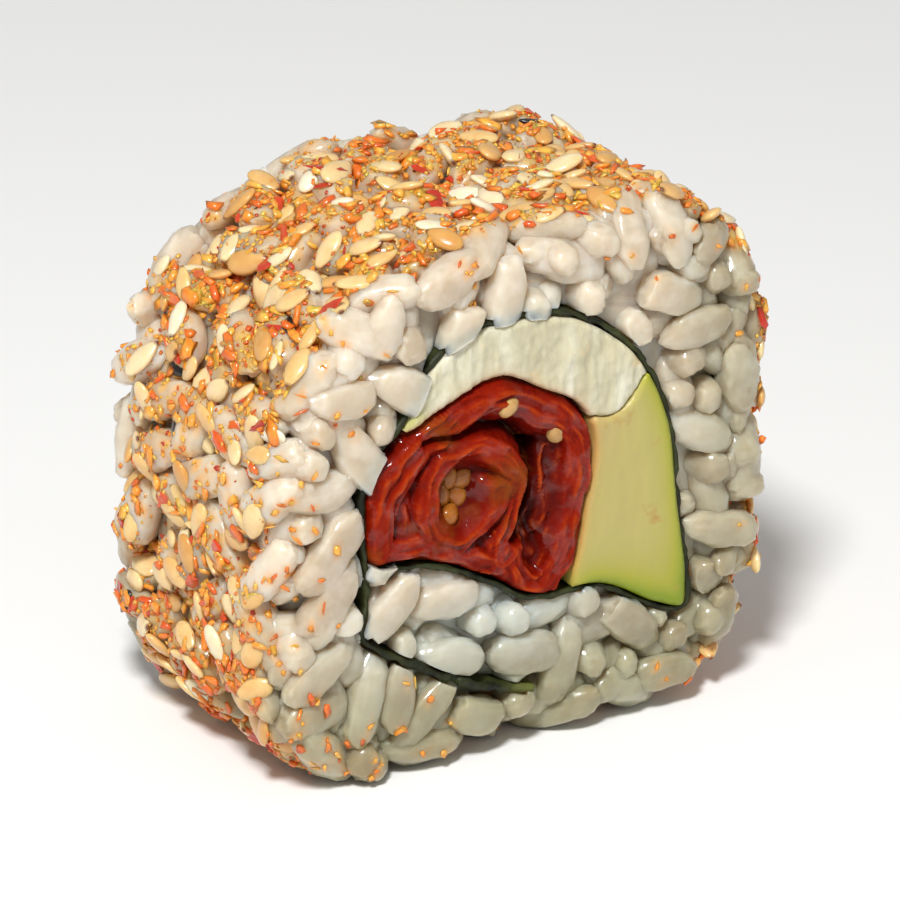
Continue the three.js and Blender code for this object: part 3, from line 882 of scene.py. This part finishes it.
class Material:
    """A principled material and short names for the nodes that feed it."""

    def __init__(self, name, **settings):
        self.material = bpy.data.materials.new(name)
        self.material.use_nodes = True
        self.nodes = self.material.node_tree.nodes
        self.links = self.material.node_tree.links
        self.shader = self.nodes["Principled BSDF"]
        for socket, value in settings.items():
            self.shader.inputs[socket.replace("_", " ")].default_value = value

    def feed(self, socket, value):
        if isinstance(value, bpy.types.NodeSocket):
            self.links.new(value, socket)
        else:
            socket.default_value = value

    def attribute(self, name):
        node = self.nodes.new("ShaderNodeAttribute")
        node.attribute_name = name
        return node.outputs["Fac"]

    def noise(self, scale, detail=3.0, roughness=0.55, stretch=(1, 1, 1)):
        """Noise over the piece's own coordinates, its scale in waves a metre."""
        place = self.nodes.new("ShaderNodeTexCoord").outputs["Object"]
        mapping = self.nodes.new("ShaderNodeMapping")
        mapping.inputs["Scale"].default_value = stretch
        self.links.new(place, mapping.inputs["Vector"])
        node = self.nodes.new("ShaderNodeTexNoise")
        self.links.new(mapping.outputs[0], node.inputs["Vector"])
        node.inputs["Scale"].default_value = scale
        node.inputs["Detail"].default_value = detail
        node.inputs["Roughness"].default_value = roughness
        return node.outputs["Fac"]

    def ramp(self, value, *stops):
        node = self.nodes.new("ShaderNodeValToRGB")
        self.links.new(value, node.inputs["Fac"])
        elements = node.color_ramp.elements
        while len(elements) < len(stops):
            elements.new(0.5)
        for element, (place, colour) in zip(elements, stops):
            element.position = place
            element.color = (*colour, 1)
        return node.outputs["Color"]

    def between(self, value, low, high):
        node = self.nodes.new("ShaderNodeMapRange")
        self.links.new(value, node.inputs["Value"])
        node.inputs["From Min"].default_value = low
        node.inputs["From Max"].default_value = high
        return node.outputs["Result"]

    def mix(self, share, a, b, way="MIX"):
        node = self.nodes.new("ShaderNodeMix")
        node.data_type = "RGBA"
        node.blend_type = way
        self.feed(node.inputs[0], share)
        for socket, colour in ((node.inputs[6], a), (node.inputs[7], b)):
            self.feed(socket, colour if isinstance(colour, bpy.types.NodeSocket) else (*colour, 1))
        return node.outputs[2]

    def colour(self, value):
        self.feed(self.shader.inputs["Base Color"], value)

    def bump(self, height, strength, distance):
        node = self.nodes.new("ShaderNodeBump")
        node.inputs["Strength"].default_value = strength
        node.inputs["Distance"].default_value = distance * MM
        self.links.new(height, node.inputs["Height"])
        for socket in ("Normal", "Coat Normal"):
            self.links.new(node.outputs["Normal"], self.shader.inputs[socket])

    def put_on(self, piece):
        piece.data.materials.clear()
        piece.data.materials.append(self.material)


def rice_material():
    m = Material("rice", Roughness=0.34, IOR=1.36, Subsurface_Weight=1.0, Subsurface_Scale=3.0 * MM)
    m.shader.inputs["Subsurface Radius"].default_value = (1.0, 0.75, 0.55)
    m.shader.inputs["Coat Weight"].default_value = 0.55
    m.shader.inputs["Coat Roughness"].default_value = 0.05
    grain = m.ramp(m.attribute("tone"), *RICE_TONES)
    cloudy = m.between(m.noise(600, 2), 0.4, 0.75)
    milky = m.mix(cloudy, grain, m.mix(0.3, grain, (0.92, 0.87, 0.8)))
    # painted shade, with damp greening below: darker and greener below and on the right
    shade_and_damp = m.mix(m.attribute("shade_and_damp"), milky, m.mix(1.0, milky, (0.46, 0.50, 0.37), "MULTIPLY"))
    cool = m.mix(m.attribute("cool"), shade_and_damp, (0.46, 0.53, 0.51))
    m.colour(m.mix(m.attribute("stain"), cool, (0.95, 0.42, 0.055)))
    m.bump(m.noise(2100, 1.5, 0.5), 0.4, 0.1)
    return m


def seed_material(name, low, middle, high, tip):
    m = Material(name, Roughness=0.32, IOR=1.45, Subsurface_Weight=0.6, Subsurface_Scale=1.0 * MM)
    m.shader.inputs["Subsurface Radius"].default_value = (1.0, 0.6, 0.25)
    m.shader.inputs["Coat Weight"].default_value = 0.4
    m.shader.inputs["Coat Roughness"].default_value = 0.1
    hull = m.ramp(m.attribute("tone"), (0.0, low), (0.5, middle), (1.0, high))
    streaky = m.mix(m.between(m.noise(900, 4), 0.35, 0.7), hull, m.mix(0.45, hull, middle, "MULTIPLY"))
    m.colour(m.mix(m.between(m.attribute("tip"), 0.88, 0.97), streaky, tip))
    m.bump(m.noise(2200, 3), 0.3, 0.06)
    return m


def seasoning_material(name, *stops):
    m = Material(name, Roughness=0.35, IOR=1.45, Subsurface_Weight=0.6, Subsurface_Scale=0.6 * MM)
    m.shader.inputs["Coat Weight"].default_value = 0.5
    m.shader.inputs["Coat Roughness"].default_value = 0.12
    own = m.ramp(m.attribute("tone"), *stops)
    burnt = m.mix(0.6, own, (0.75, 0.3, 0.08), "MULTIPLY")
    m.colour(m.mix(m.between(m.noise(1600, 3), 0.4, 0.75), own, burnt))
    m.bump(m.noise(3000, 3), 0.4, 0.06)
    return m


def tomato_material():
    m = Material("tomato", Roughness=0.42, IOR=1.33, Subsurface_Weight=0.12, Subsurface_Scale=0.8 * MM)
    m.shader.inputs["Subsurface Radius"].default_value = (1.0, 0.2, 0.1)
    m.shader.inputs["Specular IOR Level"].default_value = 0.05
    m.shader.inputs["Coat Roughness"].default_value = 0.03
    oily = m.between(m.noise(700, 2), 0.48, 0.62)
    m.feed(m.shader.inputs["Coat Weight"], m.ramp(oily, (0.0, (0.08,) * 3), (1.0, (0.65,) * 3)))
    # painted shade: the red runs to near black deep in the folds
    depth_shaded = m.ramp(m.attribute("crest"), (0.0, (0.012, 0.001, 0.0005)), (0.35, (0.07, 0.004, 0.002)),
                  (0.75, (0.17, 0.005, 0.001)), (1.0, (0.28, 0.014, 0.002)))
    # painted light along the ridges' edges, partly the thin skin's own lighter orange; painted shade where
    # the face sinks below its neighbours
    lit = m.mix(m.between(m.attribute("edge"), 0.55, 1.05), depth_shaded, (0.52, 0.075, 0.006))
    dim = m.mix(0.8, lit, (0.35, 0.15, 0.12), "MULTIPLY")
    shaded = m.mix(m.between(m.attribute("edge"), 0.5, 0.1), lit, dim)
    blotch = m.mix(0.5, shaded, (0.6, 0.3, 0.2), "MULTIPLY")
    blotchy = m.mix(m.between(m.noise(330, 4), 0.4, 0.7), shaded, blotch)
    pulp = m.between(m.noise(210, 4), 0.56, 0.70)
    m.colour(m.mix(pulp, blotchy, (0.20, 0.04, 0.005)))
    m.bump(m.noise(1200, 2, 0.5), 0.5, 0.14)
    return m


def tomato_seed_material():
    m = Material("tomato_seeds", Roughness=0.25, IOR=1.45, Subsurface_Weight=0.4, Subsurface_Scale=0.9 * MM)
    m.shader.inputs["Subsurface Radius"].default_value = (1.0, 0.5, 0.15)
    m.shader.inputs["Specular IOR Level"].default_value = 0.2
    m.shader.inputs["Coat Weight"].default_value = 0.45
    m.shader.inputs["Coat Roughness"].default_value = 0.03
    own = m.ramp(m.attribute("tone"), *TOMATO_SEED_TONES)
    m.colour(m.mix(m.between(m.noise(900, 3), 0.4, 0.7), own, m.mix(0.6, own, (0.55, 0.3, 0.1), "MULTIPLY")))
    m.bump(m.noise(1500, 3), 0.4, 0.08)
    return m


def cheese_material():
    m = Material("cheese", Roughness=0.42, IOR=1.4, Subsurface_Weight=0.6, Subsurface_Scale=0.9 * MM)
    m.shader.inputs["Subsurface Radius"].default_value = (1.0, 0.85, 0.6)
    streaks = m.noise(700, 5, 0.7, stretch=(1, 0.3, 0.25))
    curd = m.ramp(streaks, (0.3, (0.50, 0.45, 0.29)), (0.5, (0.58, 0.54, 0.38)), (0.7, (0.68, 0.66, 0.53)))
    spots = m.between(m.noise(330, 3), 0.64, 0.74)
    creamy = m.mix(spots, curd, (0.74, 0.58, 0.33))
    smeared = m.mix(m.attribute("smear"), creamy, (0.42, 0.44, 0.08))
    m.colour(m.mix(m.attribute("juice"), smeared, (0.50, 0.20, 0.05)))
    m.bump(streaks, 0.35, 0.2)
    return m


def avocado_material():
    m = Material("avocado", Roughness=0.33, IOR=1.4, Subsurface_Weight=0.4, Subsurface_Scale=0.9 * MM)
    m.shader.inputs["Subsurface Radius"].default_value = (1.0, 0.9, 0.3)
    flesh = m.ramp(m.attribute("ripe"), (0.0, (0.50, 0.37, 0.16)), (0.35, (0.46, 0.40, 0.13)),
                   (0.7, (0.37, 0.36, 0.04)), (1.0, (0.21, 0.28, 0.01)))
    bruised = m.mix(m.between(m.noise(290, 4), 0.61, 0.70), flesh, (0.43, 0.25, 0.07))
    m.colour(m.mix(m.attribute("juice"), bruised, (0.45, 0.14, 0.015)))
    m.bump(m.noise(600, 3, stretch=(1, 1, 0.3)), 0.2, 0.12)
    return m


def nori_material():
    m = Material("nori", Roughness=0.5, IOR=1.4)
    m.shader.inputs["Specular IOR Level"].default_value = 0.35
    dark = m.ramp(m.noise(500, 5), (0.35, (0.006, 0.008, 0.003)), (0.6, (0.030, 0.036, 0.010)),
                  (0.8, (0.075, 0.085, 0.02)))
    m.colour(m.mix(m.attribute("frayed"), dark, (0.11, 0.12, 0.025)))
    m.bump(m.noise(1300, 4), 0.6, 0.15)
    return m


# Making the pieces
def paint_stain(rice, points, spots):
    """The orange oil round each crumb and flake: faint over its reach and strong close by."""
    tree = point_tree([spot["at"] for spot in spots])
    stain = []
    for p in points:
        oil = 0
        for _, _, away in tree.find_range(p, STAIN_REACH):
            oil += 0.016 * (1 - away / STAIN_REACH) + 0.7 * max(0, 1 - away / 0.6) ** 2
        stain.append(min(0.85, oil))
    paint(rice, "stain", stain)


def make_toppings(rice):
    points = vertices_of(rice)
    rice_tree = tree_of(rice)
    rng = random.Random(5)
    seeds = toppings(rice_tree, rng, SEED, 3300, 1.05, 0.38, (0.8, 1.1), sharpness=2.4)
    flakes = toppings(rice_tree, rng, FLAKE, 1000, 1.1, 0.06, (0.35, 1.15), smallness=1.5)
    crumbs = toppings(rice_tree, rng, CRUMB, 13000, 0, 0.12, (0.4, 1.9), smallness=2.0)
    dust = toppings(rice_tree, rng, DUST, 14000, 0, 0.06, (0.5, 1.5), smallness=1.5)
    specks = toppings(rice_tree, rng, CRUMB, 160, 2.0, 0.06, (0.4, 0.8))
    for side in (-1, 1):
        crumbs += face_crumbs(rice_tree, rng, side, 1100)
    pale = seeds[::PALE_EVERY]
    black = seeds[BLACK_FIRST::BLACK_EVERY]
    for seed in black:
        seed["size"] = tuple(BLACK_SIZE * s for s in seed["size"])
    toasted = [s for i, s in enumerate(seeds) if i % PALE_EVERY and (i - BLACK_FIRST) % BLACK_EVERY]
    seed_form = round_form(12, 9, 0.08, 2.1, 1.8)
    crumb_form = round_form(5, 3, 0.0, 2.4)
    paint_stain(rice, points, crumbs + flakes)
    return [
        strew("sesame_toasted", seed_form, toasted, seed_shape),
        strew("sesame_pale", seed_form, pale, seed_shape),
        strew("sesame_black", seed_form, black, seed_shape),
        strew("chilli_flakes", crumb_form, flakes, crumb_shape(rng), smooth_shaded=False),
        strew("seasoning_crumbs", crumb_form, crumbs, crumb_shape(rng)),
        strew("seasoning_dust", round_form(4, 3), dust),
        strew("dark_specks", crumb_form, specks, crumb_shape(rng), smooth_shaded=False),
    ]


rice = make_rice()
scattered = make_toppings(rice)
nori = make_nori()
tomato = make_tomato()
tomato_seeds = make_tomato_seeds(tomato, random.Random(9))
cheese = make_filling("cheese_block", cheese_outline(), SOFT_END, 0.2, cheese_relief)
avocado = make_filling("avocado_slice", avocado_outline(), SOFT_END, 0.25, avocado_relief)
soften_rim(cheese, cheese_outline(), SOFT_END, SOFT_RIM)
soften_rim(avocado, avocado_outline(), SOFT_END, SOFT_RIM)
soften_rim(tomato, tomato_outline(), TOMATO_END, TOMATO_RIM)
paint_cheese(cheese)
paint_avocado(avocado)

rice_material().put_on(rice)
nori_material().put_on(nori)
tomato_material().put_on(tomato)
cheese_material().put_on(cheese)
avocado_material().put_on(avocado)
tomato_seed_material().put_on(tomato_seeds)
for piece in scattered:
    if piece.name in SEED_COLOURS:
        seed_material(*SEED_COLOURS[piece.name]).put_on(piece)
    else:
        seasoning_material(*SEASONING_COLOURS[piece.name]).put_on(piece)

for piece in (rice, nori, tomato, tomato_seeds, cheese, avocado, *scattered):
    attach(piece, "root")
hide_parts("rice")
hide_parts("nori")
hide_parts("dried_tomato")
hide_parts("soft_cheese")
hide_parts("avocado")

# Camera at the photograph's viewing angle
AZIMUTH, ELEVATION, ROLL = -32.94, 23.49, 1.21
TARGET = Vector((0, 0, 18.6)) * MM
DISTANCE = 450 * MM
LENS = 270.9
SHIFT = (0.0122, -0.0169)
FLOOR_REACH = 900


def add_camera():
    a, e = math.radians(AZIMUTH), math.radians(ELEVATION)
    back = Vector((math.sin(a) * math.cos(e), -math.cos(a) * math.cos(e), math.sin(e)))
    camera = bpy.data.objects.new("camera", bpy.data.cameras.new("camera"))
    bpy.context.scene.collection.objects.link(camera)
    camera.rotation_mode = "QUATERNION"
    camera.location = TARGET + back * DISTANCE
    turn = (-back).to_track_quat("-Z", "Y")
    camera.rotation_quaternion = turn @ Matrix.Rotation(math.radians(ROLL), 3, "Z").to_quaternion()
    camera.data.sensor_width = 36
    camera.data.lens = LENS
    camera.data.shift_x, camera.data.shift_y = SHIFT
    camera.data.clip_end = 10
    bpy.context.scene.camera = camera


def add_light(name, place, size, power, colour=(1, 1, 1)):
    light = bpy.data.lights.new(name, "AREA")
    light.shape = "DISK"
    light.size = size
    light.energy = power
    light.color = colour
    lamp = bpy.data.objects.new(name, light)
    lamp.location = place
    lamp.rotation_mode = "QUATERNION"
    lamp.rotation_quaternion = (TARGET - Vector(place)).to_track_quat("-Z", "Y")
    bpy.context.scene.collection.objects.link(lamp)


def add_stage():
    corners = [(x * FLOOR_REACH, y * FLOOR_REACH, 0) for x, y in ((-1, -1), (1, -1), (1, 1), (-1, 1))]
    floor = add_mesh("floor", corners, [(0, 1, 2, 3)])
    m = Material("paper", Roughness=0.8)
    m.colour(m.mix(m.noise(8, 2), (0.86, 0.86, 0.85), (0.89, 0.89, 0.88)))
    m.put_on(floor)
    world = bpy.data.worlds.new("studio")
    bpy.context.scene.world = world
    world.use_nodes = True
    world.node_tree.nodes["Background"].inputs["Color"].default_value = (1, 0.99, 0.97, 1)
    world.node_tree.nodes["Background"].inputs["Strength"].default_value = 0.36
    add_light("key", (-0.23, -0.24, 0.44), 0.1, 3.2)
    add_light("front", (0.25, -0.42, 0.22), 0.25, 0.1)


add_camera()
add_stage()
bpy.context.scene.view_settings.view_transform = "Standard"
